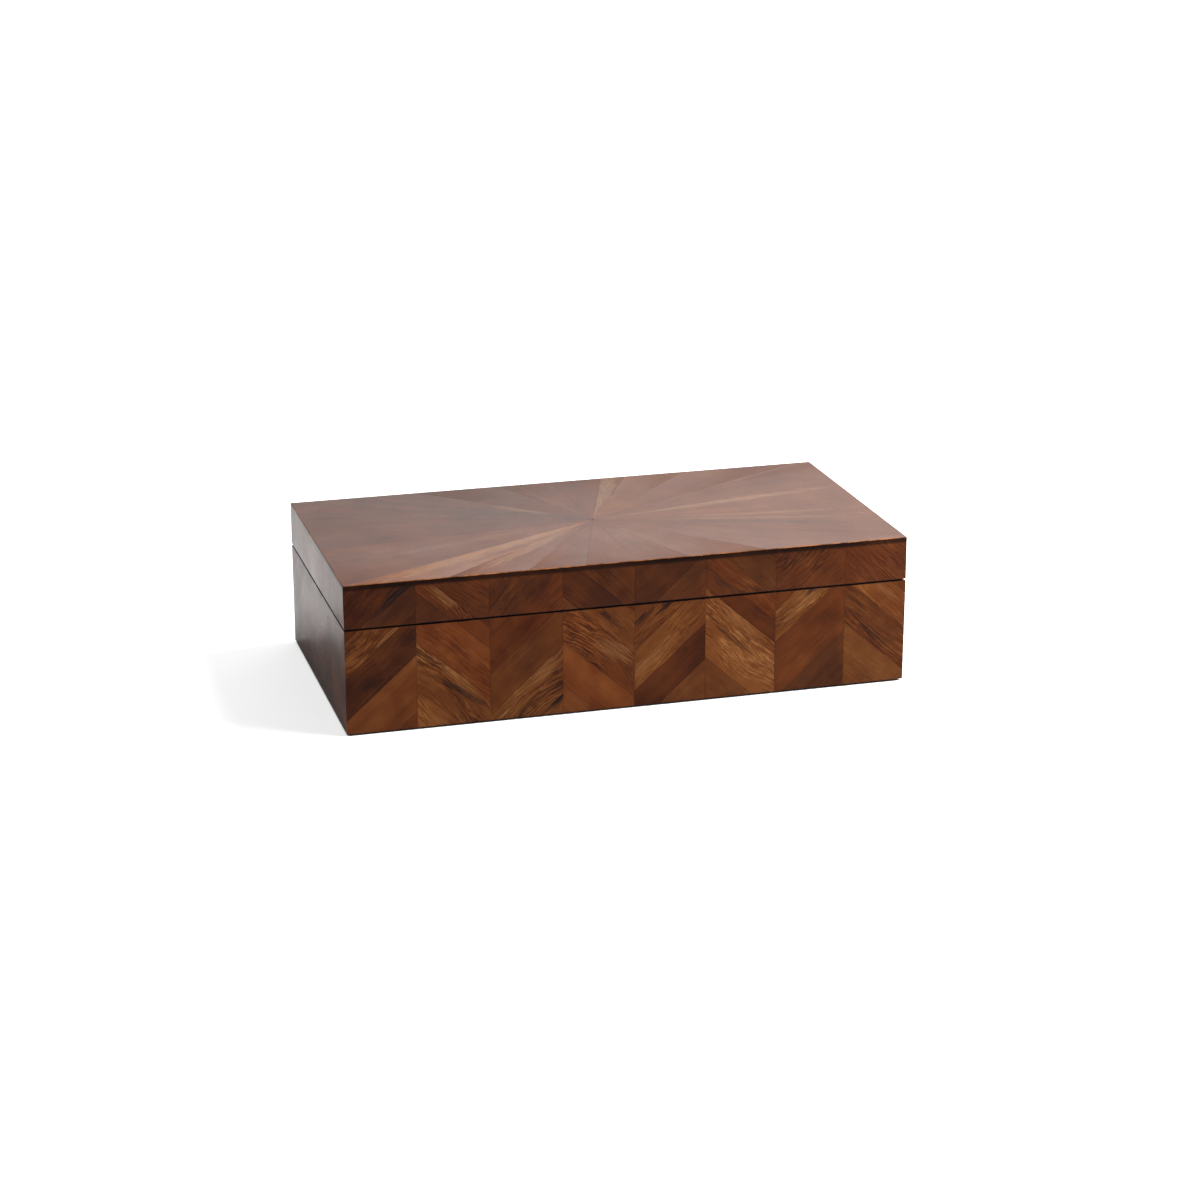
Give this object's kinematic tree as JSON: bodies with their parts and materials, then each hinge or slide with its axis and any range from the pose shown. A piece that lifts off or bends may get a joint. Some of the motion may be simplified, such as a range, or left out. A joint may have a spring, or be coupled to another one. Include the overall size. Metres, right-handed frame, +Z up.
{
  "type": "inlaid wooden box",
  "caption": "Low rectangular wooden box with a hinged lid, zigzag strip inlay on the walls and a sunburst of veneer wedges on the lid, felt-lined, for jewellery and keepsakes.",
  "frame": {"origin": "on the table, under the middle of the case: the centre of the felt that the box stands on", "axes": "+Z up; -Y out of the front, the long wall opposite the hinges; +X to the right of someone facing the front"},
  "size_m": [0.3, 0.1521, 0.08],
  "materials": {
    "carcass_wood": "stained and oiled walnut boards",
    "wall_veneer": "satin lacquer over slanted strips of walnut and burr veneer",
    "sunburst_veneer": "satin lacquer over walnut and burr veneer wedges",
    "black_felt": "dense black felt",
    "hinge_brass": "slightly dulled brass"
  },
  "bodies": {
    "case": {"base_felt": "black_felt", "floor_board": "carcass_wood", "front_board": "carcass_wood", "back_board": "carcass_wood", "left_board": "carcass_wood", "right_board": "carcass_wood", "floor_lining": "black_felt", "wall_lining": "black_felt", "rim_lining": "black_felt", "front_inlay_1": "wall_veneer", "front_inlay_2": "wall_veneer", "front_inlay_3": "wall_veneer", "front_inlay_4": "wall_veneer", "front_inlay_5": "wall_veneer", "front_inlay_6": "wall_veneer", "front_inlay_7": "wall_veneer", "front_inlay_8": "wall_veneer", "back_inlay": "wall_veneer", "left_inlay": "wall_veneer", "right_inlay": "wall_veneer", "left_hinge_case_leaf": "hinge_brass", "right_hinge_case_leaf": "hinge_brass", "left_hinge_pin": "hinge_brass", "right_hinge_pin": "hinge_brass", "case_hinge_screws": "hinge_brass"},
    "lid": {"lid_front_rail": "carcass_wood", "lid_back_rail": "carcass_wood", "lid_left_rail": "carcass_wood", "lid_right_rail": "carcass_wood", "lid_panel": "carcass_wood", "lid_lining": "black_felt", "lid_front_inlay": "wall_veneer", "lid_back_inlay": "wall_veneer", "lid_left_inlay": "wall_veneer", "lid_right_inlay": "wall_veneer", "sunburst_wedge_1": "sunburst_veneer", "sunburst_wedge_2": "sunburst_veneer", "sunburst_wedge_3": "sunburst_veneer", "sunburst_wedge_4": "sunburst_veneer", "sunburst_wedge_5": "sunburst_veneer", "sunburst_wedge_6": "sunburst_veneer", "sunburst_wedge_7": "sunburst_veneer", "sunburst_wedge_8": "sunburst_veneer", "sunburst_wedge_9": "sunburst_veneer", "sunburst_wedge_10": "sunburst_veneer", "sunburst_wedge_11": "sunburst_veneer", "sunburst_wedge_12": "sunburst_veneer", "sunburst_wedge_13": "sunburst_veneer", "sunburst_wedge_14": "sunburst_veneer", "sunburst_wedge_15": "sunburst_veneer", "sunburst_wedge_16": "sunburst_veneer", "sunburst_wedge_17": "sunburst_veneer", "sunburst_wedge_18": "sunburst_veneer", "sunburst_wedge_19": "sunburst_veneer", "sunburst_wedge_20": "sunburst_veneer", "left_hinge_lid_leaf": "hinge_brass", "right_hinge_lid_leaf": "hinge_brass", "lid_hinge_screws": "hinge_brass"}
  },
  "joints": [
    {"name": "lid_hinge", "type": "hinge", "parent": "case", "child": "lid", "pos_m": [0, 0.07459, 0.0565], "axis": [-1, 0, 0], "range_deg": [0, 100]}
  ]
}
